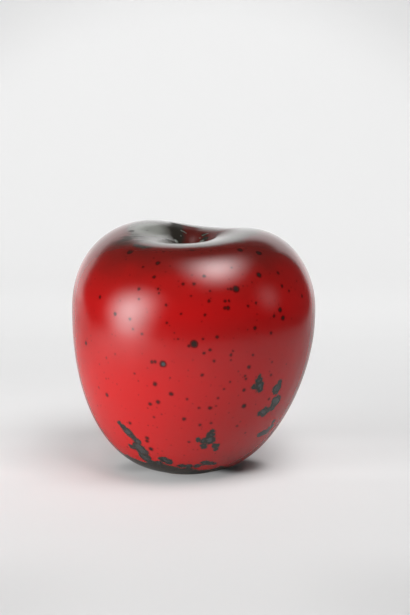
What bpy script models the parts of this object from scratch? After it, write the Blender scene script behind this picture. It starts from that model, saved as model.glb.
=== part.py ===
"""A hollow stoneware apple, about twice life size, under a coat of red glaze.

It is made as a potter makes it. Two bowls are thrown, the upper one is set rim to rim on the lower one,
and a coil of soft clay is worked over the seam on the inside. A foot ring goes on below, the damp form is
pressed out of round by hand, and the glaze coats it down to a line just above the foot.
Everything stands on Z = 0, with Z up through the middle of the belly. Lengths are in metres.
"""

import math

import bmesh
import bpy
from mathutils import Vector

# The thrown form, measured on the outside of the glaze.
BELLY_RADIUS = 0.080
BELLY_HEIGHT = 0.1055
BELLY_BAND = 0.0015
CREST_RISE = 0.0505
CREST_RADIUS = 0.0355
HOLLOW_DEPTH = 0.021
GLAZE_EDGE_RADIUS = 0.026
GLAZE_EDGE_HEIGHT = 0.0012
FOOT_SLOPE = math.radians(11.5)

# How full the profile's curves are: the share of its span that each handle reaches.
FOOT_FULLNESS = 0.57
BELLY_FULLNESS = 0.49
SHOULDER_FULLNESS = 0.57
CREST_FULLNESS = 0.59
LIP_FULLNESS = 0.97
HOLLOW_FULLNESS = 0.33

# The pressing out of round. Foot and crest are off the belly's axis, towards -X, and the crest rises and
# dips in waves: how many go round, how high each is, and the bearing of its top from +X. They grow from
# the middle of the stem hollow and reach full height this far out.
FOOT_OFFSET = 0.0046
CREST_OFFSET = 0.0010
WAVE_REACH = 0.022
CREST_WAVES = (
    (1, 0.0024, math.radians(105)),
    (2, 0.0026, math.radians(-23)),
    (3, 0.0007, math.radians(16)),
)

# Thicknesses, and the clearance between one piece and the next.
GLAZE_THICKNESS = 0.0008
WALL_THICKNESS = 0.007
CLEARANCE = 0.0003

# The seam coil, the foot ring in its rebate, and the vent that lets the kiln's heat out of the hollow.
COIL_HEIGHT = 0.016
COIL_THICKNESS = 0.004
RING_SETBACK = 0.002
RING_WIDTH = 0.005
RING_HEIGHT = 0.003
RING_CHAMFER = 0.0006
VENT_RADIUS = 0.0025

# How finely the shapes are cut.
SIDES = 48
LOWER_STEPS = 12
UPPER_STEPS = 9
HOLLOW_STEPS = 8
COIL_STEPS = 4
MERGE_DISTANCE = 0.00001
SHARP_ANGLE = math.radians(40)

SEAM_HEIGHT = BELLY_HEIGHT + BELLY_BAND / 2
CREST_HEIGHT = BELLY_HEIGHT + BELLY_BAND + CREST_RISE
CLAY_DEPTH = GLAZE_THICKNESS + CLEARANCE
INSIDE_DEPTH = CLAY_DEPTH + WALL_THICKNESS


def stretch(start, start_handle, end_handle, end, steps, depth):
    """Points of a Bezier curve in the (radius, height) plane, each sunk into the wall by a depth."""
    points = []
    for step in range(steps + 1):
        t = step / steps
        s = 1.0 - t
        on_curve = s**3 * start + 3 * s * s * t * start_handle + 3 * s * t * t * end_handle + t**3 * end
        along = s * s * (start_handle - start) + 2 * s * t * (end_handle - start_handle) + t * t * (end - end_handle)
        inward = Vector((-along.y, along.x)).normalized()
        points.append(on_curve + depth * inward)
    return points


def lower_wall(depth):
    """The wall from the glaze's edge up to the belly."""
    start = Vector((GLAZE_EDGE_RADIUS, GLAZE_EDGE_HEIGHT))
    end = Vector((BELLY_RADIUS, BELLY_HEIGHT))
    foot_reach = FOOT_FULLNESS * (BELLY_RADIUS - GLAZE_EDGE_RADIUS)
    belly_reach = BELLY_FULLNESS * (BELLY_HEIGHT - GLAZE_EDGE_HEIGHT)
    start_handle = start + foot_reach * Vector((math.cos(FOOT_SLOPE), math.sin(FOOT_SLOPE)))
    return stretch(start, start_handle, end - Vector((0, belly_reach)), end, LOWER_STEPS, depth)


def upper_wall(depth):
    """The wall from the belly over the shoulder to the crest, and down to the middle of the stem hollow."""
    start = Vector((BELLY_RADIUS, BELLY_HEIGHT + BELLY_BAND))
    crest = Vector((CREST_RADIUS, CREST_HEIGHT))
    bottom = Vector((0, CREST_HEIGHT - HOLLOW_DEPTH))
    shoulder_handle = start + Vector((0, SHOULDER_FULLNESS * CREST_RISE))
    crest_handle = crest + Vector((CREST_FULLNESS * (BELLY_RADIUS - CREST_RADIUS), 0))
    lip_handle = crest - Vector((LIP_FULLNESS * CREST_RADIUS, 0))
    hollow_handle = bottom + Vector((HOLLOW_FULLNESS * CREST_RADIUS, 0))
    shoulder = stretch(start, shoulder_handle, crest_handle, crest, UPPER_STEPS, depth)
    hollow = stretch(crest, lip_handle, hollow_handle, bottom, HOLLOW_STEPS, depth)
    return shoulder + hollow[1:]


def at_distance(points, distance):
    """The point of a polyline that lies this far along it."""
    for start, end in zip(points, points[1:]):
        length = (end - start).length
        if distance <= length:
            return start.lerp(end, distance / length)
        distance -= length
    return points[-1]


def ease(share):
    """0 below 0, 1 above 1, and a smooth climb between them."""
    share = min(max(share, 0.0), 1.0)
    return share * share * (3.0 - 2.0 * share)


def pressed_by_hand(point):
    """Where a point of the thrown form ends up once the damp clay is pressed out of round."""
    bearing = math.atan2(point.y, point.x)
    below_belly = ease(1.0 - point.z / BELLY_HEIGHT)
    above_belly = ease((point.z - BELLY_HEIGHT) / (CREST_HEIGHT - BELLY_HEIGHT))
    off_centre = ease(math.hypot(point.x, point.y) / WAVE_REACH)
    wave = sum(height * math.cos(count * (bearing - top)) for count, height, top in CREST_WAVES)
    lean = FOOT_OFFSET * below_belly + CREST_OFFSET * above_belly
    return point + Vector((-lean, 0.0, above_belly * off_centre * wave))


def make_material(name, colour, roughness):
    """A plain surface of one colour."""
    material = bpy.data.materials.new(name)
    material.use_nodes = True
    shader = material.node_tree.nodes["Principled BSDF"]
    shader.inputs["Base Color"].default_value = (*colour, 1.0)
    shader.inputs["Roughness"].default_value = roughness
    shader.inputs["Metallic"].default_value = 0.0
    material.diffuse_color = (*colour, 1.0)
    return material


def turn(name, section, material, parent):
    """A solid turned from a section round Z, then pressed out of round.

    A section that starts on the axis also ends there, and needs no edge along it."""
    mesh = bmesh.new()
    corners = [mesh.verts.new((point.x, 0.0, point.y)) for point in section]
    edges = [mesh.edges.new(pair) for pair in zip(corners, corners[1:])]
    if section[0].x > MERGE_DISTANCE:
        edges.append(mesh.edges.new((corners[-1], corners[0])))
    bmesh.ops.spin(
        mesh,
        geom=corners + edges,
        cent=(0.0, 0.0, 0.0),
        axis=(0.0, 0.0, 1.0),
        angle=2 * math.pi,
        steps=SIDES,
        use_merge=True,
    )
    bmesh.ops.remove_doubles(mesh, verts=mesh.verts, dist=MERGE_DISTANCE)
    for vertex in mesh.verts:
        vertex.co = pressed_by_hand(vertex.co)
    bmesh.ops.recalc_face_normals(mesh, faces=mesh.faces)
    data = bpy.data.meshes.new(name)
    mesh.to_mesh(data)
    mesh.free()
    data.shade_smooth()
    data.set_sharp_from_angle(angle=SHARP_ANGLE)
    data.materials.append(material)
    piece = bpy.data.objects.new(name, data)
    bpy.context.collection.objects.link(piece)
    piece.parent = parent
    return piece


def make_lower_bowl(clay, parent):
    """The lower bowl: base, vent and wall up to the seam. The foot ring's rebate is turned under its base."""
    outside = lower_wall(CLAY_DEPTH)
    inside = lower_wall(INSIDE_DEPTH)
    rim = SEAM_HEIGHT - CLEARANCE / 2
    rebate_radius = GLAZE_EDGE_RADIUS - RING_SETBACK + CLEARANCE
    rebate_height = RING_HEIGHT + CLEARANCE
    section = [Vector((rebate_radius, outside[0].y))] + outside
    section += [Vector((outside[-1].x, rim)), Vector((inside[-1].x, rim))]
    section += inside[::-1]
    section += [Vector((VENT_RADIUS, inside[0].y)), Vector((VENT_RADIUS, rebate_height))]
    section += [Vector((rebate_radius, rebate_height))]
    turn("lower_bowl", section, clay, parent)


def make_upper_bowl(clay, parent):
    """The upper bowl: shoulder, crest and stem hollow, thrown upside down and set on the lower bowl's rim."""
    outside = upper_wall(CLAY_DEPTH)
    inside = upper_wall(INSIDE_DEPTH)
    rim = SEAM_HEIGHT + CLEARANCE / 2
    section = inside[::-1]
    section += [Vector((inside[0].x, rim)), Vector((outside[0].x, rim))]
    section += outside
    turn("upper_bowl", section, clay, parent)


def make_seam_coil(clay, parent):
    """The coil of clay that is pressed over the seam inside. It is half round, with its back to the wall."""
    depth = INSIDE_DEPTH + CLEARANCE
    seam = Vector((BELLY_RADIUS - depth, SEAM_HEIGHT))
    downwards = [seam] + lower_wall(depth)[::-1]
    upwards = [seam] + upper_wall(depth)
    back = []
    front = []
    for step in range(-COIL_STEPS, COIL_STEPS + 1):
        share = step / COIL_STEPS
        wall = upwards if step > 0 else downwards
        on_wall = at_distance(wall, abs(share) * COIL_HEIGHT / 2)
        back.append(on_wall)
        if abs(step) < COIL_STEPS:
            front.append(on_wall - Vector((COIL_THICKNESS * math.sqrt(1 - share * share), 0)))
    turn("seam_coil", back + front[::-1], clay, parent)


def make_foot_ring(clay, parent):
    """The unglazed ring that the apple stands on, with both lower edges rubbed down."""
    outer = GLAZE_EDGE_RADIUS - RING_SETBACK
    inner = outer - RING_WIDTH
    section = [
        Vector((outer, RING_HEIGHT)),
        Vector((outer, RING_CHAMFER)),
        Vector((outer - RING_CHAMFER, 0)),
        Vector((inner + RING_CHAMFER, 0)),
        Vector((inner, RING_CHAMFER)),
        Vector((inner, RING_HEIGHT)),
    ]
    turn("foot_ring", section, clay, parent)


def make_glaze_coat(glaze, parent):
    """The fired coat of glass over the outside, from its edge above the foot to the middle of the hollow.

    It runs over the seam in one sweep, with a single ring there and not the two that bound the band."""
    outside = lower_wall(0)[:-1] + [Vector((BELLY_RADIUS, SEAM_HEIGHT))] + upper_wall(0)[1:]
    inside = lower_wall(GLAZE_THICKNESS)[:-1] + [Vector((BELLY_RADIUS - GLAZE_THICKNESS, SEAM_HEIGHT))]
    inside += upper_wall(GLAZE_THICKNESS)[1:]
    turn("glaze_coat", inside[::-1] + outside, glaze, parent)


for old_object in list(bpy.data.objects):
    bpy.data.objects.remove(old_object, do_unlink=True)

apple = bpy.data.objects.new("ceramic_apple", None)
bpy.context.collection.objects.link(apple)

fired_clay = make_material("fired_stoneware", (0.46, 0.34, 0.24), 0.85)
luting_clay = make_material("luted_stoneware", (0.52, 0.40, 0.29), 0.9)
foot_clay = make_material("bare_foot_stoneware", (0.38, 0.26, 0.18), 0.8)
red_glaze = make_material("red_glaze", (0.42, 0.018, 0.016), 0.32)

make_lower_bowl(fired_clay, apple)
make_upper_bowl(fired_clay, apple)
make_seam_coil(luting_clay, apple)
make_foot_ring(foot_clay, apple)
make_glaze_coat(red_glaze, apple)
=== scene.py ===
"""Dresses the ceramic apple: bare stoneware inside and below, and a speckled satin red glaze over it."""

import math

import bpy
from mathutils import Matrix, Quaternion, Vector


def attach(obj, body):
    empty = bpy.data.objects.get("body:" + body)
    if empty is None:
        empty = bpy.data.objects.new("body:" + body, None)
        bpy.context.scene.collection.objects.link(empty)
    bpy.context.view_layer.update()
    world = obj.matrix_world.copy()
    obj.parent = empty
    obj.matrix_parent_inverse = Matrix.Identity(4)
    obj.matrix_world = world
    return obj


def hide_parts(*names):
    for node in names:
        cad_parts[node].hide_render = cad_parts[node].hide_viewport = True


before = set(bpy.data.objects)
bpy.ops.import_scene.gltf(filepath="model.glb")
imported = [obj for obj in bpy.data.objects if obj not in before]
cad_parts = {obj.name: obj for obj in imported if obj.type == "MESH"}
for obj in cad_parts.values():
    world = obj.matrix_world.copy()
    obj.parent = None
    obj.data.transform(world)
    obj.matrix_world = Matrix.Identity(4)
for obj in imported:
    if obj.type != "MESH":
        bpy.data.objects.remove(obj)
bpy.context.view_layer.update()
bpy.context.scene.view_settings.view_transform = "Standard"

# The camera stands a metre in front of the apple and a little above it, and looks at its upper half.
# Its frame is the photograph's, and its lens is given by the photograph's pixels to one radian.
PHOTO_WIDTH = 410
PHOTO_HEIGHT = 615
PIXELS_PER_RADIAN = 1517
SENSOR_WIDTH = 36
VIEW_DISTANCE = 1.0
VIEW_ELEVATION = math.radians(9.72)
VIEW_TARGET = Vector((0.0074, 0.0, 0.1071))

bpy.ops.object.camera_add()
camera = bpy.context.object
camera.name = "camera"
camera.data.sensor_width = SENSOR_WIDTH
camera.data.lens = SENSOR_WIDTH * PIXELS_PER_RADIAN / PHOTO_HEIGHT
towards_camera = Vector((0.0, -math.cos(VIEW_ELEVATION), math.sin(VIEW_ELEVATION)))
camera.location = VIEW_TARGET + VIEW_DISTANCE * towards_camera
camera.rotation_euler = (math.radians(90) - VIEW_ELEVATION, 0, 0)
bpy.context.scene.camera = camera

# The clay body is two thrown bowls of buff stoneware, set rim to rim and luted with a coil on the inside.
# Only its bare base shows, under the apple, with the rings that the turning tool left and grains of grog,
# which is crushed fired clay. A noise is given as its size and its detail.
CLAY_COLOUR = (0.46, 0.34, 0.24, 1)
GROG_COLOUR = (0.16, 0.11, 0.08, 1)
CLAY_CLOUDS = (0.02, 4.0)
CLAY_TONES = (-0.6, 1.1)
CLAY_ROUGHNESS = 0.72
CLAY_ROUGHNESS_SPREAD = 0.2
GROG_PER_METRE = 900.0
GROG_EDGE = (0.32, 0.18)
GROG_RARITY = 0.62
GROG_RELIEF = 0.6
RING_WOBBLE = 1.5
UNSCALED_RING_WIDTH = 0.3
BOWL_RING_WIDTH = 0.0016
CLAY_BUMP_STRENGTH = 0.5
CLAY_BUMP_HEIGHT = 0.0002
FOOT_CENTRE = Vector((-0.0046, 0, 0))


def add_node(tree, kind, sources=None, **settings):
    """Adds a shader node. Each source goes to the input of that name or number, as a link or as a value."""
    node = tree.nodes.new(kind)
    for name, value in settings.items():
        setattr(node, name, value)
    for name, source in (sources or {}).items():
        if isinstance(source, bpy.types.NodeSocket):
            tree.links.new(source, node.inputs[name])
        else:
            node.inputs[name].default_value = source
    return node


def add_math(tree, operation, *sources):
    """Adds a Math node and gives its result."""
    return add_node(tree, "ShaderNodeMath", dict(enumerate(sources)), operation=operation).outputs[0]


def add_product(tree, *factors):
    """Several values multiplied together."""
    product = factors[0]
    for factor in factors[1:]:
        product = add_math(tree, "MULTIPLY", product, factor)
    return product


def add_share(tree, total, value, share):
    """A total with a share of a value added to it."""
    return add_math(tree, "MULTIPLY_ADD", value, share, total)


def add_fade(tree, value, start, end):
    """A smooth step of a value: 0 at the start and 1 at the end."""
    sources = {"Value": value, "From Min": start, "From Max": end}
    return add_node(tree, "ShaderNodeMapRange", sources, interpolation_type="SMOOTHSTEP").outputs["Result"]


def add_mix(tree, share, first, second):
    """A colour between two colours."""
    mix = tree.nodes.new("ShaderNodeMix")
    mix.data_type = "RGBA"
    sources = {"Factor": share, "A": first, "B": second}
    for socket in mix.inputs:
        if socket.enabled and socket.name in sources:
            source = sources[socket.name]
            if isinstance(source, bpy.types.NodeSocket):
                tree.links.new(source, socket)
            else:
                socket.default_value = source
    return next(socket for socket in mix.outputs if socket.enabled)


def add_shade(tree, brightness, colour):
    """A colour made darker or lighter."""
    sources = {"Value": brightness, "Color": colour}
    return add_node(tree, "ShaderNodeHueSaturation", sources).outputs["Color"]


def add_noise(tree, position, size, detail, output=0):
    """Noise whose lumps are about this many metres across, with this much finer noise in them."""
    sources = {"Vector": position, "Scale": 1 / size, "Detail": detail}
    return add_node(tree, "ShaderNodeTexNoise", sources).outputs[output]


def new_group(name, inputs, outputs):
    """An empty node group with the named sockets. Gives its tree and its input and output nodes."""
    tree = bpy.data.node_groups.new(name, "ShaderNodeTree")
    for label, kind in inputs.items():
        tree.interface.new_socket(name=label, in_out="INPUT", socket_type="NodeSocket" + kind)
    for label, kind in outputs.items():
        tree.interface.new_socket(name=label, in_out="OUTPUT", socket_type="NodeSocket" + kind)
    return tree, tree.nodes.new("NodeGroupInput").outputs, tree.nodes.new("NodeGroupOutput").inputs


def add_group(tree, group, sources):
    """Places a node group, with its inputs given by name."""
    node = tree.nodes.new("ShaderNodeGroup")
    node.node_tree = group
    for name, source in sources.items():
        if isinstance(source, bpy.types.NodeSocket):
            tree.links.new(source, node.inputs[name])
        else:
            node.inputs[name].default_value = source
    return node.outputs


def new_material(name):
    """A material with a Principled shader. Gives the material, its tree and its shader."""
    material = bpy.data.materials.new(name)
    material.use_nodes = True
    return material, material.node_tree, material.node_tree.nodes["Principled BSDF"]


stoneware, given, made = new_group(
    "stoneware",
    {"Position": "Vector", "Clay": "Color", "Grog": "Color", "Ring Width": "Float"},
    {"Colour": "Color", "Roughness": "Float", "Height": "Float"},
)
clouds = add_noise(stoneware, given["Position"], *CLAY_CLOUDS)
sources = {"Vector": given["Position"], "Scale": GROG_PER_METRE}
grains = add_node(stoneware, "ShaderNodeTexVoronoi", sources).outputs
chosen = add_math(stoneware, "GREATER_THAN", grains["Color"], GROG_RARITY)
grog = add_product(stoneware, add_fade(stoneware, grains["Distance"], *GROG_EDGE), chosen)
tone = add_shade(stoneware, add_fade(stoneware, clouds, *CLAY_TONES), given["Clay"])
stoneware.links.new(add_mix(stoneware, grog, tone, given["Grog"]), made["Colour"])
stoneware.links.new(add_share(stoneware, CLAY_ROUGHNESS, clouds, CLAY_ROUGHNESS_SPREAD), made["Roughness"])
scale = add_math(stoneware, "DIVIDE", UNSCALED_RING_WIDTH, given["Ring Width"])
sources = {"Vector": given["Position"], "Distortion": RING_WOBBLE, "Scale": scale}
rings = add_node(stoneware, "ShaderNodeTexWave", sources, wave_type="RINGS", rings_direction="Z")
stoneware.links.new(add_share(stoneware, rings.outputs["Fac"], grog, GROG_RELIEF), made["Height"])


def clay_material(name, clay, ring_width):
    """Fired stoneware with wheel marks this far apart, round the foot's centre."""
    material, tree, shader = new_material(name)
    position = add_node(tree, "ShaderNodeTexCoord").outputs["Object"]
    centred = add_node(tree, "ShaderNodeMapping", {"Vector": position, "Location": -FOOT_CENTRE})
    sources = {
        "Position": centred.outputs["Vector"],
        "Clay": clay,
        "Grog": GROG_COLOUR,
        "Ring Width": ring_width,
    }
    surface = add_group(tree, stoneware, sources)
    sources = {"Height": surface["Height"], "Strength": CLAY_BUMP_STRENGTH, "Distance": CLAY_BUMP_HEIGHT}
    bump = add_node(tree, "ShaderNodeBump", sources)
    tree.links.new(surface["Colour"], shader.inputs["Base Color"])
    tree.links.new(surface["Roughness"], shader.inputs["Roughness"])
    tree.links.new(bump.outputs["Normal"], shader.inputs["Normal"])
    return material


def give_material(node_name, material):
    """Puts a material on a piece of clay in place of its plain one."""
    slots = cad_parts[node_name].data.materials
    slots.clear()
    slots.append(material)


bowl_clay = clay_material("thrown_stoneware", CLAY_COLOUR, BOWL_RING_WIDTH)
give_material("lower_bowl", bowl_clay)
give_material("upper_bowl", bowl_clay)

# The seam coil is a roll of the same clay, worked over the seam from inside with wet fingers. It dried
# and fired a little paler than the bowls.
COIL_COLOUR = (0.54, 0.42, 0.31, 1)
COIL_MARK_WIDTH = 0.004

give_material("seam_coil", clay_material("luted_coil", COIL_COLOUR, COIL_MARK_WIDTH))

# The foot ring is bare clay, turned true and rubbed smooth where it meets the shelf. It is a shade
# darker than the base, from the heat of the kiln shelf and from handling.
FOOT_COLOUR = (0.34, 0.23, 0.16, 1)
FOOT_MARK_WIDTH = 0.0009

give_material("foot_ring", clay_material("bare_foot", FOOT_COLOUR, FOOT_MARK_WIDTH))

# The glaze is a satin red glass, less than a millimetre thick, with dark iron flecks that melted into it.
# It is poured over the closed form and runs from just above the foot up into the stem hollow. Its mesh is
# rounded off, and fitted so that its corners stay where the frame has them.
MERGE_DISTANCE = 0.00001
GLAZE_LEVELS = 2
FITTING_PASSES = 4

glaze_coat = bpy.data.objects.new("glaze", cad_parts["glaze_coat"].data.copy())
bpy.context.collection.objects.link(glaze_coat)
bpy.ops.object.select_all(action="DESELECT")
bpy.context.view_layer.objects.active = glaze_coat
glaze_coat.select_set(True)
bpy.ops.object.mode_set(mode="EDIT")
bpy.ops.mesh.select_all(action="SELECT")
bpy.ops.mesh.remove_doubles(threshold=MERGE_DISTANCE)
bpy.ops.mesh.tris_convert_to_quads()
bpy.ops.object.mode_set(mode="OBJECT")

corners = [vertex.co.copy() for vertex in glaze_coat.data.vertices]
rounding = glaze_coat.modifiers.new("rounding", "SUBSURF")
rounding.levels = rounding.render_levels = GLAZE_LEVELS
for fitting_pass in range(FITTING_PASSES):
    rounded = glaze_coat.evaluated_get(bpy.context.evaluated_depsgraph_get()).data
    for vertex, corner in zip(glaze_coat.data.vertices, corners):
        vertex.co += corner - rounded.vertices[vertex.index].co
    glaze_coat.data.update()
bpy.ops.object.modifier_apply(modifier=rounding.name)
bpy.ops.object.shade_smooth()

# Flecks of iron melted into the glaze, and where they ran together they made ragged patches. In the stem
# hollow, a few beads of greyish glass stand on it, and thin threads of the same pale grey are painted
# highlights, glints on its blisters. Each is a round where the photograph shows it, as its pixel and its
# radius in pixels.
FLECKS = (
    (194, 344, 4.0), (189, 346, 1.7), (163, 364, 3.5), (152, 362, 1.8), (155, 362, 1.7), (236, 289, 3.4),
    (231, 289, 1.6), (228, 289, 1.2), (259, 275, 2.5), (259, 253, 2.3), (240, 250, 2.0), (225, 308, 1.8),
    (228, 308, 2.0), (225, 301, 1.5), (229, 301, 1.4), (209, 301, 1.6), (205, 315, 1.6), (280, 310, 2.2),
    (283, 318, 2.2), (274, 316, 1.4), (255, 328, 1.7), (271, 333, 1.4), (217, 337, 1.8), (210, 350, 1.6),
    (204, 353, 1.6), (203, 339, 1.2), (214, 361, 1.5), (233, 351, 1.1), (231, 355, 1.6), (231, 360, 1.0),
    (202, 375, 1.8), (249, 367, 1.9), (244, 390, 1.7), (245, 376, 1.3), (246, 379, 1.3), (271, 375, 1.3),
    (244, 406, 2.3), (269, 399, 1.3), (210, 408, 2.0), (199, 408, 1.3), (184, 419, 1.9), (200, 425, 1.5),
    (211, 423, 1.3), (189, 442, 1.3), (130, 423, 1.6), (147, 438, 1.9), (147, 441, 1.7), (151, 449, 2.2),
    (155, 384, 2.2), (171, 394, 2.3), (158, 402, 2.1), (150, 404, 1.8), (154, 417, 1.1), (107, 395, 1.7),
    (187, 399, 1.4), (86, 343, 1.5), (100, 297, 1.5), (115, 314, 1.8), (130, 319, 1.5), (133, 329, 1.1),
    (142, 334, 1.4), (139, 289, 1.6), (139, 299, 1.2), (158, 263, 2.1), (154, 277, 1.7), (158, 289, 1.3),
    (159, 293, 1.2), (166, 305, 1.4), (167, 323, 1.3), (130, 252, 2.3), (183, 284, 1.6), (194, 284, 1.7),
    (204, 276, 1.8), (181, 314, 1.3), (248, 306, 1.4), (256, 303, 1.3), (278, 273, 1.4), (282, 286, 1.5),
    (289, 291, 1.2), (302, 296, 1.2), (191, 296, 1.1), (210, 291, 1.1), (237, 426, 1.2), (170, 378, 0.9),
    (143, 267, 1.1), (224, 389, 1.2), (218, 398, 1.3), (230, 382, 1.1), (245, 433, 0.9), (192, 250, 1.4),
    (216, 406, 1.0), (272, 362, 1.0), (253, 355, 1.3), (178, 339, 1.0),
)
PATCHES = (
    (212, 431, 1.6), (211, 435, 3.2), (210, 440, 4.3), (203, 441, 2.2), (198, 440, 2.0), (204, 446, 2.6),
    (215, 446, 2.6), (216, 449, 1.6), (259, 376, 1.5), (259, 380, 3.0), (260, 385, 3.8), (260, 389, 3.0),
    (254, 387, 2.3), (277, 388, 4.2), (279, 384, 1.9), (280, 381, 1.2), (276, 401, 4.5), (273, 407, 2.8),
    (269, 409, 2.0), (264, 412, 3.8), (260, 413, 1.8), (273, 422, 1.4), (271, 427, 2.1), (267, 431, 2.5),
    (263, 433, 2.1), (259, 435, 1.5), (119, 423, 1.5), (123, 427, 2.3), (128, 432, 3.6), (131, 435, 2.7),
    (134, 438, 2.2), (137, 441, 3.1), (138, 447, 4.2), (132, 447, 2.2), (142, 451, 4.7), (145, 457, 4.2),
    (148, 460, 2.8), (151, 463, 2.3), (165, 460, 3.3), (168, 462, 3.0), (159, 463, 2.6), (161, 459, 1.8),
    (182, 466, 2.2), (188, 466, 2.5), (197, 466, 2.2), (205, 463, 2.7), (210, 463, 2.0), (214, 464, 1.4),
    (135, 245, 1.6), (139, 246, 2.0), (144, 247, 1.8), (149, 247, 1.4), (205, 239, 2.2), (204, 235, 1.6),
)
# The first four rounds are beads of glass; the small rounds after them are painted highlights.
BEADS_AND_GLINTS = (
    (176, 241, 1.5), (177, 241.5, 1.4), (201, 241.5, 1.4), (202.5, 241, 1.5), (181.5, 230.5, 0.7),
    (183, 231.2, 0.7), (184.5, 232, 0.7), (186, 233, 0.7), (202.5, 235.5, 0.7), (204.2, 234.8, 0.7),
    (206, 234, 0.7), (207.5, 233.6, 0.6), (181, 236, 0.7), (200, 238, 0.7),
)
METRES_PER_PIXEL = VIEW_DISTANCE / PIXELS_PER_RADIAN
LEAST_FACING = 0.2
SOFT_DRIFT = (0.0020, 0.0004)
COARSE_DRIFT = (0.0045, 0.0011)
FINE_DRIFT = (0.0014, 0.0004)
DRIFT_DETAIL = 1.0
NOISE_MIDDLE = (0.5, 0.5, 0.5)
FRAY = (0.0019, 3.0)
PATCH_FRAY_REACH = 0.0026
PATCH_GROWTH = 0.0004
PATCH_BLEND = 0.0018
FAR_OFF = 0.01


def place_under_pixel(x, y):
    """The place on the glaze under a pixel of the photograph, and how squarely it faces the camera."""
    across = (x - PHOTO_WIDTH / 2) / PIXELS_PER_RADIAN
    down = (y - PHOTO_HEIGHT / 2) / PIXELS_PER_RADIAN
    direction = camera.rotation_euler.to_matrix() @ Vector((across, -down, -1)).normalized()
    hit, place, normal, face = glaze_coat.ray_cast(camera.location, direction)
    if not hit:
        raise ValueError(f"no glaze under pixel {x}, {y}")
    return place, -normal.dot(direction)


def spot_under_pixel(x, y, radius):
    """A round spot of the photograph: its middle on the glaze, and its radius, allowing for the slope."""
    place, facing = place_under_pixel(x, y)
    return place, radius * METRES_PER_PIXEL / math.sqrt(max(facing, LEAST_FACING))


def add_vector_math(tree, operation, first, second):
    """Adds a Vector Math node on two vectors, or on a vector and a scale, and gives its vector result."""
    sources = {0: first, "Scale" if operation == "SCALE" else 1: second}
    return add_node(tree, "ShaderNodeVectorMath", sources, operation=operation).outputs["Vector"]


def add_distance(tree, first, second):
    """How far apart two points are."""
    sources = {0: first, 1: second}
    return add_node(tree, "ShaderNodeVectorMath", sources, operation="DISTANCE").outputs["Value"]


def add_drift(tree, position, size, reach):
    """A position pushed about by noise of this size, by up to this far each way."""
    noise = add_noise(tree, position, size, DRIFT_DETAIL, "Color")
    push = add_vector_math(tree, "SUBTRACT", noise, NOISE_MIDDLE)
    return add_vector_math(tree, "ADD", position, add_vector_math(tree, "SCALE", push, 2 * reach))


def add_wander(tree, value, noise, reach):
    """A value that noise carries up and down, by up to half of the reach each way."""
    return add_share(tree, add_math(tree, "SUBTRACT", value, reach / 2), noise, reach)


def new_round_edge(name, operation, *blend):
    """A group that joins one more round to an area, and gives how far a point is outside its edge."""
    group, given, made = new_group(
        name,
        {"Position": "Vector", "Centre": "Vector", "Radius": "Float", "Nearest": "Float"},
        {"Nearest": "Float"},
    )
    gap = add_distance(group, given["Position"], given["Centre"])
    to_edge = add_math(group, "SUBTRACT", gap, given["Radius"])
    group.links.new(add_math(group, operation, given["Nearest"], to_edge, *blend), made["Nearest"])
    return group


def add_rounds(tree, group, position, rounds):
    """How far a point is outside the nearest of these rounds. It is below zero inside one."""
    nearest = FAR_OFF
    for x, y, pixels in rounds:
        centre, radius = spot_under_pixel(x, y, pixels)
        sources = {"Position": position, "Centre": centre, "Radius": radius, "Nearest": nearest}
        nearest = add_group(tree, group, sources)["Nearest"]
    return nearest


fleck_edge = new_round_edge("fleck_edge", "MINIMUM")
patch_edge = new_round_edge("patch_edge", "SMOOTH_MIN", PATCH_BLEND)

glaze, tree, shader = new_material("satin_red_glaze")
position = add_node(tree, "ShaderNodeTexCoord").outputs["Object"]
place = add_node(tree, "ShaderNodeSeparateXYZ", {"Vector": position}).outputs
height = place["Z"]
soft = add_drift(tree, position, *SOFT_DRIFT)
ragged = add_drift(tree, add_drift(tree, position, *COARSE_DRIFT), *FINE_DRIFT)
frayed = add_noise(tree, position, *FRAY)
flecks = add_rounds(tree, fleck_edge, soft, FLECKS)
beads_and_glints = add_rounds(tree, fleck_edge, soft, BEADS_AND_GLINTS)
patches = add_wander(tree, add_rounds(tree, patch_edge, ragged, PATCHES), frayed, PATCH_FRAY_REACH)
patches = add_math(tree, "SUBTRACT", patches, PATCH_GROWTH)

# Away from the side that the photograph shows, flecks and low patches fall by chance, about as densely as
# in front. Pinpricks of iron lie all over. Each kind has its spacing, the share of places that hold one,
# and its largest radius.
LARGE_FLECKS = {"Cell": 0.016, "Share": 0.85, "Radius": 0.0075}
MEDIUM_FLECKS = {"Cell": 0.0080, "Share": 0.55, "Radius": 0.0026}
SMALL_FLECKS = {"Cell": 0.0060, "Share": 0.24, "Radius": 0.00085}
PINPRICKS = {"Cell": 0.0028, "Share": 0.20, "Radius": 0.00050}
LARGE_FLECKS_FRAY_REACH = 0.0050
LARGE_FLECKS_TOP = (0.050, 0.070)
LARGE_FLECKS_SHRINK = 0.008
FRONT_SIDE = (-0.006, -0.030)
FRONT_SHRINK = 0.006

speck_edge, given, made = new_group(
    "speck_edge",
    {"Position": "Vector", "Cell": "Float", "Share": "Float", "Radius": "Float"},
    {"Nearest": "Float"},
)
scale = add_math(speck_edge, "DIVIDE", 1.0, given["Cell"])
cells = add_node(speck_edge, "ShaderNodeTexVoronoi", {"Vector": given["Position"], "Scale": scale}).outputs
gap = add_product(speck_edge, cells["Distance"], given["Cell"])
chance = add_node(speck_edge, "ShaderNodeSeparateColor", {"Color": cells["Color"]}).outputs["Red"]
luck = add_math(speck_edge, "ADD", chance, add_math(speck_edge, "SUBTRACT", given["Share"], 1.0))
radius = add_product(speck_edge, add_math(speck_edge, "DIVIDE", luck, given["Share"]), given["Radius"])
speck_edge.links.new(add_math(speck_edge, "SUBTRACT", gap, radius), made["Nearest"])


def add_specks(tree, position, kind):
    """How far a point is outside the nearest speck of this kind."""
    return add_group(tree, speck_edge, {"Position": position, **kind})["Nearest"]


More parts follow.
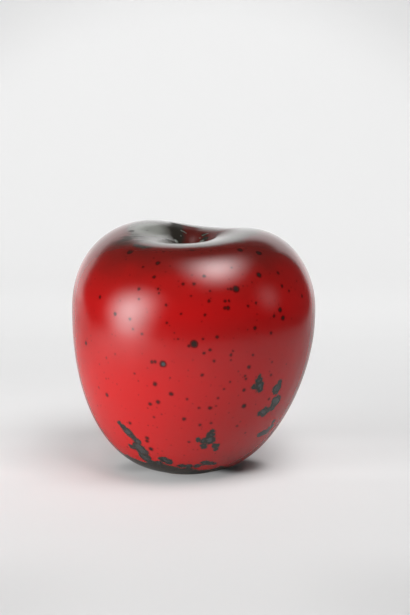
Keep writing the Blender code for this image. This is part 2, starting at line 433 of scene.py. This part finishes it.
in_front = add_product(tree, add_fade(tree, place["Y"], *FRONT_SIDE), FRONT_SHRINK)
large = add_wander(tree, add_specks(tree, ragged, LARGE_FLECKS), frayed, LARGE_FLECKS_FRAY_REACH)
large = add_share(tree, large, add_fade(tree, height, *LARGE_FLECKS_TOP), LARGE_FLECKS_SHRINK)
patches = add_math(tree, "MINIMUM", patches, add_math(tree, "ADD", large, in_front))
medium = add_math(tree, "ADD", add_specks(tree, soft, MEDIUM_FLECKS), in_front)
for specks in (medium, add_specks(tree, soft, SMALL_FLECKS), add_specks(tree, soft, PINPRICKS)):
    flecks = add_math(tree, "MINIMUM", flecks, specks)
nearest = add_math(tree, "MINIMUM", flecks, patches)

# The red darkens with height. It is made a little darker towards the right, and darker again low on the
# right and in one round at the left front under the left highlight: all three of these are painted shade.
LOW_RED = (0.59, 0.0085, 0.0085, 1)
RED = (0.41, 0.0055, 0.0055, 1)
MID_RED = (0.245, 0.006, 0.005, 1)
DARK_RED = (0.105, 0.007, 0.005, 1)
RED_FROM = (0.062, 0.112)
MID_RED_FROM = (0.112, 0.142)
DARK_RED_FROM = (0.134, 0.153)
MOTTLE = (0.018, 5.0)
RED_WANDER = 0.012
RIGHT_SIDE = (-0.040, 0.045)
RIGHT_PAINTED_SHADE = 0.20
RIGHT_PAINTED_SHADE_TOP = (0.090, 0.125)
RIGHT_PAINTED_SHADE_LOST = 0.70
LOW_RIGHT_TOP = (0.032, 0.008)
LOW_RIGHT_SIDE = (0.0, 0.030)
LOW_RIGHT_PAINTED_SHADE = 0.33
SHADED_ROUND = (130, 315)
SHADED_ROUND_EDGE = (0.017, 0.003)
SHADED_ROUND_DEEPENING = 0.22

mottle = add_noise(tree, position, *MOTTLE)
wavy_height = add_wander(tree, height, mottle, RED_WANDER)
colour = add_mix(tree, add_fade(tree, wavy_height, *RED_FROM), LOW_RED, RED)
colour = add_mix(tree, add_fade(tree, wavy_height, *MID_RED_FROM), colour, MID_RED)
colour = add_mix(tree, add_fade(tree, wavy_height, *DARK_RED_FROM), colour, DARK_RED)
# Painted shade: the red is made darker towards the right, less so higher up, and darker again low on the
# right.
kept_below = add_share(tree, 1.0, add_fade(tree, height, *RIGHT_PAINTED_SHADE_TOP), -RIGHT_PAINTED_SHADE_LOST)
right_shade = add_product(tree, add_fade(tree, place["X"], *RIGHT_SIDE), kept_below)
brightness = add_share(tree, 1.0, right_shade, -RIGHT_PAINTED_SHADE)
low_right_shade = add_fade(tree, height, *LOW_RIGHT_TOP)
low_right_shade = add_product(tree, low_right_shade, add_fade(tree, place["X"], *LOW_RIGHT_SIDE))
brightness = add_share(tree, brightness, low_right_shade, -LOW_RIGHT_PAINTED_SHADE)
# Painted shade: the red is made darker in one round under the left highlight.
from_round = add_distance(tree, position, place_under_pixel(*SHADED_ROUND)[0])
in_shaded_round = add_fade(tree, from_round, *SHADED_ROUND_EDGE)
brightness = add_share(tree, brightness, in_shaded_round, -SHADED_ROUND_DEEPENING)
colour = add_shade(tree, brightness, colour)

# Over the crest the red burnt out to grey green. Left of the stem hollow a paler grey is painted, as a
# painted reflection, and left of that patch it is scorched in streaks.
CREST_GREY = (0.080, 0.085, 0.075, 1)
CREST_EDGE = (0.048, 0.040)
CREST_WANDER = 0.020
CREST_COVER = 0.85
EDGE_WAVES = (0.011, 4.0)
ABOVE_BELLY = (0.110, 0.120)
REFLECTION_PATCH_GREY = (0.27, 0.28, 0.255, 1)
REFLECTION_PATCH_MIDDLE = (-0.029, 0.001)
REFLECTION_PATCH_EDGE = (0.017, 0.006)
REFLECTION_PATCH_COVER = 0.80
STREAK_DARK = (0.030, 0.032, 0.026, 1)
STREAKS_MIDDLE = (-0.042, -0.020)
STREAKS_EDGE = (0.015, 0.003)
STREAKS = (0.010, 3.0)
STREAK_TURN = 0.9
STREAK_SQUEEZE = (1, 4, 1)
STREAK_GAPS = (0.36, 0.58)


def add_plan_distance(tree, position, centre):
    """How far a point is, seen from above, from a centre."""
    level = add_vector_math(tree, "MULTIPLY", position, (1, 1, 0))
    return add_distance(tree, level, (*centre, 0))


edge_waves = add_noise(tree, position, *EDGE_WAVES)
above_belly = add_fade(tree, height, *ABOVE_BELLY)
from_axis = add_plan_distance(tree, position, (0, 0))
on_crest = add_fade(tree, add_wander(tree, from_axis, edge_waves, -CREST_WANDER), *CREST_EDGE)
colour = add_mix(tree, add_product(tree, on_crest, above_belly, CREST_COVER), colour, CREST_GREY)
# Painted reflection: left of the stem hollow the glaze is painted a paler grey.
in_reflection_patch = add_fade(tree, add_plan_distance(tree, position, REFLECTION_PATCH_MIDDLE), *REFLECTION_PATCH_EDGE)
colour = add_mix(tree, add_product(tree, in_reflection_patch, above_belly, REFLECTION_PATCH_COVER), colour, REFLECTION_PATCH_GREY)
sources = {"Vector": position, "Rotation": (0, 0, STREAK_TURN), "Scale": STREAK_SQUEEZE}
along_streaks = add_node(tree, "ShaderNodeMapping", sources).outputs["Vector"]
streaks = add_fade(tree, add_noise(tree, along_streaks, *STREAKS), *STREAK_GAPS)
near_streaks = add_fade(tree, add_plan_distance(tree, position, STREAKS_MIDDLE), *STREAKS_EDGE)
in_streaks = add_product(tree, near_streaks, streaks, above_belly)
colour = add_mix(tree, in_streaks, colour, STREAK_DARK)

# In the middle of the stem hollow the glaze is dull and burnt, crimson on the right and black on the left.
# A tongue of it runs up the far wall.
HOLLOW_RED = (0.085, 0.012, 0.010, 1)
HOLLOW_DARK = (0.024, 0.021, 0.017, 1)
HOLLOW_MIDDLE = (0.004, 0.006)
HOLLOW_EDGE = (0.031, 0.010)
HOLLOW_COVER = 0.96
HOLLOW_DARK_SIDE = (-0.005, -0.009)
SIDE_WANDER = 0.006
TONGUE_BACK = (-0.003, 0.003)
TONGUE_END = (0.034, 0.026)
TONGUE_LEFT = (-0.0195, -0.0135)
TONGUE_RIGHT = (0.012, 0.0)

wavy_side = add_wander(tree, place["X"], edge_waves, SIDE_WANDER)
in_hollow = add_fade(tree, add_plan_distance(tree, position, HOLLOW_MIDDLE), *HOLLOW_EDGE)
in_tongue = add_product(
    tree,
    add_fade(tree, place["Y"], *TONGUE_BACK),
    add_fade(tree, from_axis, *TONGUE_END),
    add_fade(tree, wavy_side, *TONGUE_LEFT),
    add_fade(tree, wavy_side, *TONGUE_RIGHT),
)
in_hollow = add_product(tree, add_math(tree, "MAXIMUM", in_hollow, in_tongue), above_belly)
hollow_colour = add_mix(tree, add_fade(tree, wavy_side, *HOLLOW_DARK_SIDE), HOLLOW_RED, HOLLOW_DARK)
colour = add_mix(tree, add_product(tree, in_hollow, HOLLOW_COVER), colour, hollow_colour)

# At the foot the glaze burnt out to a dark brownish band, which is highest on the left. Its upper edge
# wanders where the glaze ran.
BURNT = (0.036, 0.024, 0.015, 1)
FOOT_BAND = 0.0100
FOOT_BAND_SLOPE = 0.13
FOOT_BAND_WANDER = 0.012
FOOT_BAND_EDGE = (0.0010, -0.0012)

foot_edge = add_share(tree, add_math(tree, "SUBTRACT", height, FOOT_BAND), place["X"], FOOT_BAND_SLOPE)
foot_edge = add_wander(tree, foot_edge, edge_waves, FOOT_BAND_WANDER)
colour = add_mix(tree, add_fade(tree, foot_edge, *FOOT_BAND_EDGE), colour, BURNT)

# A fleck scorched the red dark, and the larger ones are iron black in the middle. One has a grey heart.
# Patches are near black, with clouds of grey inside them.
IRON = (0.025, 0.011, 0.008, 1)
IRON_EDGE = (-0.0005, -0.0013)
SCORCH_EDGE = (0.0003, -0.0005)
SCORCH_DEEPENING = 0.60
HALO_EDGE = (0.0009, 0.0001)
HALO_DEEPENING = 0.12
GREY_HEART = (163.4, 364.2)
HEART_GREY = (0.058, 0.066, 0.066, 1)
HEART_EDGE = (0.0016, 0.0006)
PATCH_DARK = (0.026, 0.025, 0.020, 1)
PATCH_EDGE = (0.0006, -0.0006)
PATCH_GREY = (0.052, 0.058, 0.058, 1)
PATCH_CLOUDS = (0.0035, 3.0)
PATCH_CLOUDS_REACH = 0.0040
PATCH_CLOUDS_EDGE = (-0.0013, -0.0030)
BEAD_AND_GLINT_GREY = (0.150, 0.165, 0.145, 1)
BEAD_AND_GLINT_EDGE = (0.0002, -0.0004)

scorch = add_fade(tree, flecks, *SCORCH_EDGE)
darkening = add_product(tree, scorch, SCORCH_DEEPENING)
darkening = add_share(tree, darkening, add_fade(tree, nearest, *HALO_EDGE), HALO_DEEPENING)
colour = add_shade(tree, add_math(tree, "SUBTRACT", 1.0, darkening), colour)
colour = add_mix(tree, add_fade(tree, flecks, *IRON_EDGE), colour, IRON)
from_heart = add_distance(tree, position, place_under_pixel(*GREY_HEART)[0])
colour = add_mix(tree, add_fade(tree, from_heart, *HEART_EDGE), colour, HEART_GREY)
colour = add_mix(tree, add_fade(tree, patches, *PATCH_EDGE), colour, PATCH_DARK)
clouded = add_wander(tree, patches, add_noise(tree, position, *PATCH_CLOUDS), PATCH_CLOUDS_REACH)
colour = add_mix(tree, add_fade(tree, clouded, *PATCH_CLOUDS_EDGE), colour, PATCH_GREY)
# The beads and the painted highlights among them alike get a pale grey.
on_bead_or_glint = add_fade(tree, beads_and_glints, *BEAD_AND_GLINT_EDGE)
colour = add_mix(tree, on_bead_or_glint, colour, BEAD_AND_GLINT_GREY)
tree.links.new(colour, shader.inputs["Base Color"])

# The gloss is a clear skin over the colour, thin where the hollow is dull and the streaks are scorched. It
# is faintly uneven, the flecks stand a hair proud of it, and the hollow is blistered.
COAT_ROUGHNESS = 0.18
GLASS_IOR = 1.5
HOLLOW_DULLNESS = 0.88
STREAK_DULLNESS = 0.50
FLECK_DULLNESS = 0.30
GLAZE_ROUGHNESS = 0.20
MOTTLE_ROUGHNESS = 0.10
FLECK_ROUGHNESS = 0.05
HOLLOW_ROUGHNESS = 0.25
FLECK_RISE_EDGE = (0.0002, -0.0004)
PEEL = (0.0016, 2.0)
PEEL_RELIEF = 0.05
FLECK_RELIEF = 0.10
BLISTERS = (0.0030, 2.0)
RELIEF_HEIGHT = 0.0004

dull = add_product(tree, in_hollow, HOLLOW_DULLNESS)
dull = add_math(tree, "MAXIMUM", dull, add_product(tree, in_streaks, STREAK_DULLNESS))
dull = add_product(tree, dull, add_math(tree, "SUBTRACT", 1.0, on_bead_or_glint))
dull = add_math(tree, "MAXIMUM", dull, add_product(tree, scorch, FLECK_DULLNESS))
tree.links.new(add_math(tree, "SUBTRACT", 1.0, dull), shader.inputs["Coat Weight"])
shader.inputs["Coat Roughness"].default_value = COAT_ROUGHNESS
shader.inputs["Coat IOR"].default_value = GLASS_IOR
shader.inputs["IOR"].default_value = GLASS_IOR
shader.inputs["Specular IOR Level"].default_value = 0.0
on_fleck = add_fade(tree, nearest, *FLECK_RISE_EDGE)
roughness = add_share(tree, GLAZE_ROUGHNESS, mottle, MOTTLE_ROUGHNESS)
roughness = add_share(tree, roughness, on_fleck, FLECK_ROUGHNESS)
roughness = add_share(tree, roughness, in_hollow, HOLLOW_ROUGHNESS)
tree.links.new(roughness, shader.inputs["Roughness"])

relief = add_product(tree, on_fleck, FLECK_RELIEF)
relief = add_share(tree, relief, add_noise(tree, position, *PEEL), PEEL_RELIEF)
relief = add_share(tree, relief, in_hollow, add_noise(tree, position, *BLISTERS))
relief = add_math(tree, "ADD", relief, on_bead_or_glint)
bump = add_node(tree, "ShaderNodeBump", {"Height": relief, "Strength": 1.0, "Distance": RELIEF_HEIGHT})
tree.links.new(bump.outputs["Normal"], shader.inputs["Normal"])

glaze_coat.data.materials.clear()
glaze_coat.data.materials.append(glaze)
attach(glaze_coat, "root")
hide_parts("glaze_coat")

# The apple stands on a wide pale floor, and behind it a strip of pale paper curves up from the floor. Its
# upper edge is cut at a slant.
FLOOR_SIZE = 6.0
FLOOR_LOWERED = 0.001
PAPER_LEFT = -1.58
PAPER_TOP_LEFT = -1.35
PAPER_RIGHT = 0.976
PAPER_NEAR = -3.0
PAPER_BACK = 1.3
PAPER_HEIGHT = 1.01
PAPER_BEND = 0.5
PAPER_BEND_SEGMENTS = 24
PAPER_FRONT = PAPER_BACK - PAPER_BEND
PAPER_TILT = 0.11

bpy.ops.object.select_all(action="DESELECT")
bpy.ops.mesh.primitive_plane_add(size=FLOOR_SIZE)
floor = bpy.context.object
floor.name = "floor"
for vertex in floor.data.vertices:
    vertex.co.z = -FLOOR_LOWERED

bpy.ops.object.select_all(action="DESELECT")
bpy.ops.mesh.primitive_plane_add(size=1)
paper = bpy.context.object
paper.name = "paper"
for vertex in paper.data.vertices:
    vertex.co.x = PAPER_RIGHT if vertex.co.x > 0 else PAPER_LEFT
    vertex.co.y = PAPER_BACK if vertex.co.y > 0 else PAPER_NEAR
bpy.ops.object.mode_set(mode="EDIT")
bpy.ops.mesh.select_mode(type="EDGE")
bpy.ops.mesh.select_all(action="DESELECT")
bpy.ops.object.mode_set(mode="OBJECT")
for edge in paper.data.edges:
    edge.select = all(paper.data.vertices[index].co.y > PAPER_FRONT for index in edge.vertices)
bpy.ops.object.mode_set(mode="EDIT")
bpy.ops.mesh.extrude_region_move(TRANSFORM_OT_translate={"value": (0, 0, PAPER_HEIGHT)})
bpy.ops.mesh.select_all(action="DESELECT")
bpy.ops.object.mode_set(mode="OBJECT")
for edge in paper.data.edges:
    ends = [paper.data.vertices[index].co for index in edge.vertices]
    edge.select = all(end.y > PAPER_FRONT and end.z < PAPER_BEND for end in ends)
bpy.ops.object.mode_set(mode="EDIT")
bpy.ops.mesh.bevel(offset=PAPER_BEND, segments=PAPER_BEND_SEGMENTS)
bpy.ops.object.mode_set(mode="OBJECT")
for vertex in paper.data.vertices:
    if vertex.co.z > (PAPER_BEND + PAPER_HEIGHT) / 2:
        vertex.co.x = max(vertex.co.x, PAPER_TOP_LEFT)
        vertex.co.z += PAPER_TILT * vertex.co.x
bpy.ops.object.shade_smooth()

# To the camera the floor and the paper glow a little, so that the background is as pale as it should be.
# This painted light rises from the front edge to the back, is a little stronger just beside the apple, and
# is less in the corners and right under the apple, which leaves a painted shadow there. Each range is where
# such a change starts and where it is full.
FLOOR_COLOUR = (0.58, 0.58, 0.58, 1)
PAPER_ROUGHNESS = 0.9
WHITE = (1, 1, 1, 1)
FRONT_GLOW = 0.148
NEAR_RISE = (-0.22, 0.20)
NEAR_GLOW = 0.155
FAR_RISE = (0.20, 0.70)
FAR_GLOW = 0.165
FRONT_EDGE = (-0.16, -0.27)
FRONT_EDGE_DIMMING = 0.04
FRONT_CORNERS = (-0.15, -0.26)
FRONT_CORNER_SIDES = (0.03, 0.12)
FRONT_CORNER_DIMMING = 0.06
PAPER_SEEN = (0.8, 1.0)
PAPER_CENTRE_HEIGHT = 0.05
PAPER_SQUEEZE = 1.3
PAPER_CORNERS = (0.33, 0.50)
PAPER_CORNER_DIMMING = 0.12
BESIDE_BACK = (0.095, 0.050)
BESIDE_FRONT = (-0.050, -0.015)
BESIDE_INNER = (0.050, 0.075)
BESIDE_OUTER = (0.210, 0.075)
BESIDE_GLOW = 0.055
UNDER_RIGHT = (0.029, -0.002, 0)
UNDER_RIGHT_EDGE = (0.026, 0.010)
UNDER_LEFT = (-0.038, -0.005, 0)
UNDER_LEFT_EDGE = (0.018, 0.004)
UNDER_LEFT_SHARE = 0.50


def add_length(tree, first, second):
    """The long side of a right triangle with these two sides."""
    square = add_math(tree, "MULTIPLY_ADD", first, first, add_product(tree, second, second))
    return add_math(tree, "SQRT", square)


pale, tree, shader = new_material("pale_paper")
position = add_node(tree, "ShaderNodeTexCoord").outputs["Object"]
place = add_node(tree, "ShaderNodeSeparateXYZ", {"Vector": position}).outputs
ray = add_node(tree, "ShaderNodeLightPath").outputs
sideways = add_math(tree, "ABSOLUTE", place["X"])

seen = add_share(tree, FRONT_GLOW, add_fade(tree, place["Y"], *NEAR_RISE), NEAR_GLOW)
seen = add_share(tree, seen, add_fade(tree, place["Y"], *FAR_RISE), FAR_GLOW)
seen = add_share(tree, seen, add_fade(tree, place["Y"], *FRONT_EDGE), -FRONT_EDGE_DIMMING)
front_corners = add_fade(tree, place["Y"], *FRONT_CORNERS)
front_corners = add_product(tree, front_corners, add_fade(tree, sideways, *FRONT_CORNER_SIDES))
seen = add_share(tree, seen, front_corners, -FRONT_CORNER_DIMMING)
upward = add_product(tree, add_math(tree, "SUBTRACT", place["Z"], PAPER_CENTRE_HEIGHT), PAPER_SQUEEZE)
paper_corners = add_fade(tree, add_length(tree, upward, sideways), *PAPER_CORNERS)
paper_corners = add_product(tree, paper_corners, add_fade(tree, place["Y"], *PAPER_SEEN))
seen = add_share(tree, seen, paper_corners, -PAPER_CORNER_DIMMING)
# Painted light: the glow is a little stronger just beside the apple.
beside = add_product(
    tree,
    add_fade(tree, place["Y"], *BESIDE_BACK),
    add_fade(tree, place["Y"], *BESIDE_FRONT),
    add_fade(tree, sideways, *BESIDE_INNER),
    add_fade(tree, sideways, *BESIDE_OUTER),
)
seen = add_share(tree, seen, beside, BESIDE_GLOW)
# Painted shadow: right under the apple the glow is taken away.
under = add_fade(tree, add_distance(tree, position, UNDER_RIGHT), *UNDER_RIGHT_EDGE)
under_left = add_fade(tree, add_distance(tree, position, UNDER_LEFT), *UNDER_LEFT_EDGE)
under = add_share(tree, under, under_left, UNDER_LEFT_SHARE)
seen = add_product(tree, seen, add_math(tree, "SUBTRACT", 1.0, under), ray["Is Camera Ray"])

# In the gloss of the apple, the back of the floor and the raised paper glow brightly, and so does a round
# of the floor at the front left, a painted pool of the left box's light. The raised paper also glows a
# little into the diffuse light, as painted light thrown back.
RAISED = (0.0, 0.06)
RAISED_REFLECTED = 0.45
RAISED_BOUNCED = 0.30
BACK_RISE = (0.15, 0.75)
BACK_REFLECTED = 0.45
LIT_ROUND = (-0.52, -0.28, 0)
LIT_ROUND_REACH = 0.46
LIT_ROUND_REFLECTED = 1.45

raised = add_fade(tree, place["Z"], *RAISED)
lit_round = add_fade(tree, add_distance(tree, position, LIT_ROUND), LIT_ROUND_REACH, 0.0)
reflected = add_product(tree, raised, RAISED_REFLECTED)
reflected = add_share(tree, reflected, add_fade(tree, place["Y"], *BACK_RISE), BACK_REFLECTED)
reflected = add_share(tree, reflected, lit_round, LIT_ROUND_REFLECTED)
reflected = add_product(tree, reflected, ray["Is Glossy Ray"])
bounced = add_product(tree, raised, RAISED_BOUNCED, ray["Is Diffuse Ray"])
glow = add_math(tree, "ADD", seen, add_math(tree, "ADD", reflected, bounced))
tree.links.new(glow, shader.inputs["Emission Strength"])
shader.inputs["Emission Color"].default_value = WHITE
shader.inputs["Base Color"].default_value = FLOOR_COLOUR
shader.inputs["Roughness"].default_value = PAPER_ROUGHNESS

# The gloss shows the floor only as far as the edge of a table: a rounded front, and sides that open out
# behind the apple. Beyond that edge the room is dark.
TABLE_MIDDLE = (-0.03, 0.09)
TABLE_RADIUS = 0.53
TABLE_EDGE = 0.10
TABLE_LEFT_OPENING = 0.15
TABLE_LEFT_SPREAD = 1.3
TABLE_RIGHT_OPENING = 0.45
TABLE_RIGHT_SPREAD = 0.50
TABLE_BACK = (1.25, 1.15)
FLAT_FLOOR = (0.010, 0.0)


def add_opening(tree, place, start, spread, limit):
    """How far a point is beyond a side of the table that opens out behind this start."""
    behind = add_math(tree, "MAXIMUM", add_math(tree, "SUBTRACT", place["Y"], start), 0.0)
    return add_math(tree, limit, add_math(tree, "MULTIPLY_ADD", behind, spread, place["X"]), 0.0)


leftward = add_opening(tree, place, TABLE_LEFT_OPENING, TABLE_LEFT_SPREAD, "MINIMUM")
rightward = add_opening(tree, place, TABLE_RIGHT_OPENING, -TABLE_RIGHT_SPREAD, "MAXIMUM")
across = add_math(tree, "SUBTRACT", add_math(tree, "ADD", rightward, leftward), TABLE_MIDDLE[0])
nearer = add_math(tree, "MINIMUM", add_math(tree, "SUBTRACT", place["Y"], TABLE_MIDDLE[1]), 0.0)
from_middle = add_length(tree, across, nearer)
off_table = add_fade(tree, from_middle, TABLE_RADIUS - TABLE_EDGE, TABLE_RADIUS + TABLE_EDGE)
in_front_of_back = add_fade(tree, place["Y"], *TABLE_BACK)
not_paper = add_math(tree, "MAXIMUM", in_front_of_back, add_fade(tree, place["Z"], *FLAT_FLOOR))
unreflected = add_product(tree, off_table, not_paper, ray["Is Glossy Ray"])
clear = tree.nodes.new("ShaderNodeBsdfTransparent").outputs["BSDF"]
either = add_node(tree, "ShaderNodeMixShader", {0: unreflected, 1: shader.outputs["BSDF"], 2: clear})
tree.links.new(either.outputs[0], tree.nodes["Material Output"].inputs["Surface"])
for stage in (floor, paper):
    stage.data.materials.append(pale)

# The room round the stage is nearly dark, and gives only a little light from all sides. To the camera it
# is as pale as the paper.
ROOM_DARK = (0.05, 0.05, 0.05, 1)
ROOM_SEEN = (0.86, 0.86, 0.86, 1)

world = bpy.data.worlds.new("studio")
world.use_nodes = True
bpy.context.scene.world = world
tree = world.node_tree
ray = add_node(tree, "ShaderNodeLightPath").outputs
room = add_mix(tree, ray["Is Camera Ray"], ROOM_DARK, ROOM_SEEN)
tree.links.new(room, tree.nodes["Background"].inputs["Color"])
tree.nodes["Background"].inputs["Strength"].default_value = 1.0

# Three soft boxes give the highlights: a large one low at the front left, one almost overhead, and a weak
# one at the right. The one overhead only shows in the gloss, and the lamp after it gives its light.
CARD_REACH = 1.1
CARD_BLACK = (0, 0, 0, 1)
LIT_POINT = Vector((0, 0, 0.1))


def add_softbox(name, bearing, elevation, distance, width, height, roll, radiance):
    """A glowing card that faces the apple, half as bright at its width and height as in its middle.

    Its bearing is from the camera's side, to the right."""
    turn = math.radians(bearing)
    rise = math.radians(elevation)
    towards = Vector((math.sin(turn) * math.cos(rise), -math.cos(turn) * math.cos(rise), math.sin(rise)))
    bpy.ops.object.select_all(action="DESELECT")
    bpy.ops.mesh.primitive_plane_add(size=2 * CARD_REACH)
    box = bpy.context.object
    box.name = name
    for vertex in box.data.vertices:
        vertex.co.x *= width
        vertex.co.y *= height
    box.location = LIT_POINT + distance * towards
    facing_apple = (-towards).to_track_quat("Z", "Y")
    box.rotation_euler = (facing_apple @ Quaternion((0, 0, 1), math.radians(roll))).to_euler()
    box.visible_camera = False
    material, tree, shader = new_material(name)
    position = add_node(tree, "ShaderNodeTexCoord").outputs["Object"]
    share = add_vector_math(tree, "MULTIPLY", position, (2 / width, 2 / height, 0))
    square = add_node(tree, "ShaderNodeVectorMath", {0: share, 1: share}, operation="DOT_PRODUCT")
    falloff = add_math(tree, "POWER", 0.5, square.outputs["Value"])
    backfacing = add_node(tree, "ShaderNodeNewGeometry").outputs["Backfacing"]
    strength = add_product(tree, falloff, add_math(tree, "SUBTRACT", 1.0, backfacing), radiance)
    tree.links.new(strength, shader.inputs["Emission Strength"])
    shader.inputs["Emission Color"].default_value = WHITE
    shader.inputs["Base Color"].default_value = CARD_BLACK
    shader.inputs["Roughness"].default_value = 1.0
    box.data.materials.append(material)
    return box


add_softbox(
    "left_box", bearing=-58.5, elevation=6.2, distance=1.2, width=0.60, height=0.90, roll=20, radiance=10.6
)
top_box = add_softbox(
    "top_box", bearing=59.4, elevation=74.7, distance=1.2, width=0.68, height=0.47, roll=-41, radiance=10.8
)
top_box.visible_diffuse = False
top_box.visible_shadow = False
add_softbox(
    "right_box", bearing=76, elevation=19, distance=1.4, width=0.40, height=0.50, roll=0, radiance=1.0
)

# One wide lamp, above the apple and to the front right, lights the floor and the glaze and casts the soft
# shadow to the back left. It leaves no highlight.
LAMP_PLACE = (0.40, -0.60, 1.41)
LAMP_SIZE = 0.85
LAMP_RADIANCE = 8.3

bpy.ops.object.light_add(type="AREA")
lamp = bpy.context.object
lamp.name = "overhead_light"
lamp.location = LAMP_PLACE
lamp.rotation_euler = (lamp.location - LIT_POINT).to_track_quat("Z", "Y").to_euler()
lamp.data.size = LAMP_SIZE
lamp.data.energy = LAMP_RADIANCE * math.pi * LAMP_SIZE * LAMP_SIZE
lamp.visible_camera = False
lamp.visible_glossy = False
